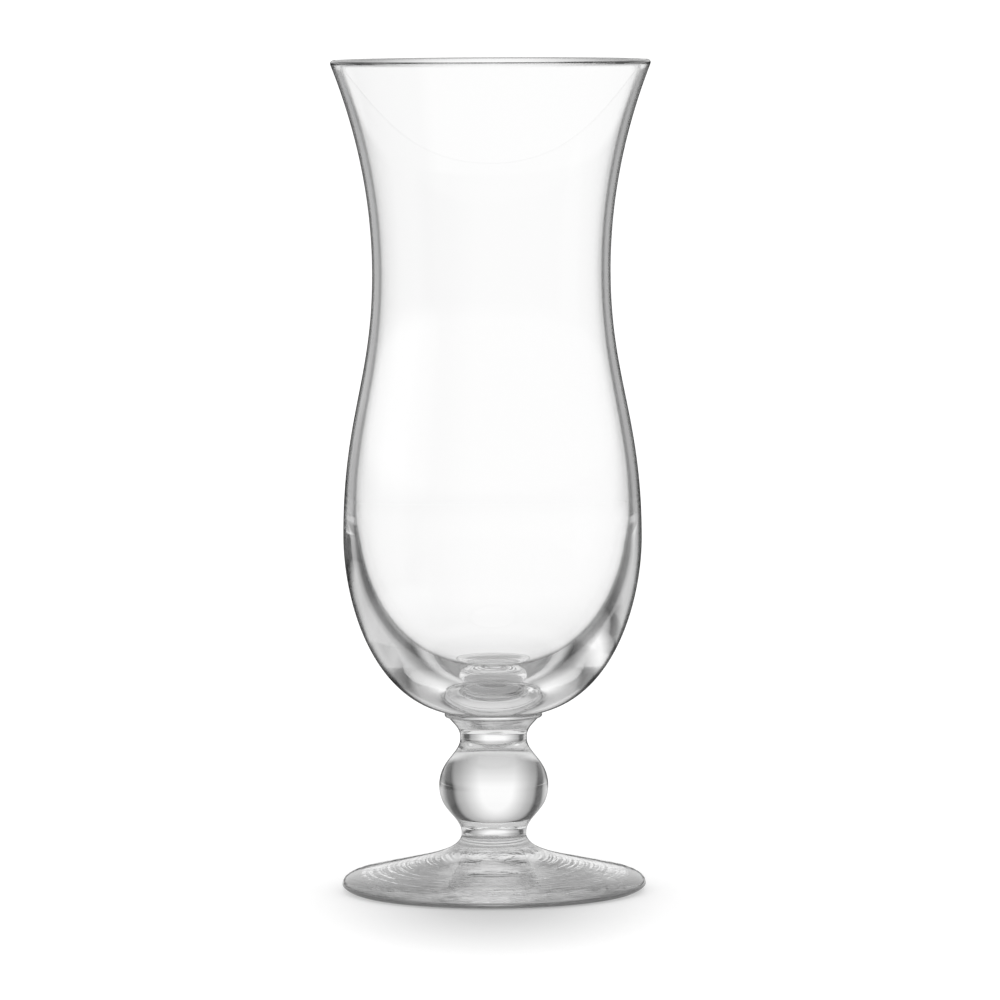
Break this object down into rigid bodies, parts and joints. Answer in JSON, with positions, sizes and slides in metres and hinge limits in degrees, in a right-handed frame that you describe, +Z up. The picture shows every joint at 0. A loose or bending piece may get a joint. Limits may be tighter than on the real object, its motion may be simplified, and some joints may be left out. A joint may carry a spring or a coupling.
{
  "type": "hurricane glass",
  "caption": "Tall footed glass for long drinks, with a flared lip, a narrow waist, a full belly, a ball knop in the short stem and a sloping round foot.",
  "frame": {"origin": "centre of the ring that the foot rests on", "axes": "+Z up along the axis of the glass; the glass is round, so +X and +Y are alike"},
  "size_m": [0.079, 0.079, 0.206],
  "materials": {
    "bowl_glass": "clear, fire polished",
    "merese_glass": "clear, fire polished",
    "stem_glass": "clear, pressed and fire polished",
    "foot_glass": "clear, pressed, with a faint ripple"
  },
  "bodies": {
    "root": {"foot": "foot_glass", "stem": "stem_glass", "merese": "merese_glass", "bowl": "bowl_glass"}
  },
  "joints": []
}
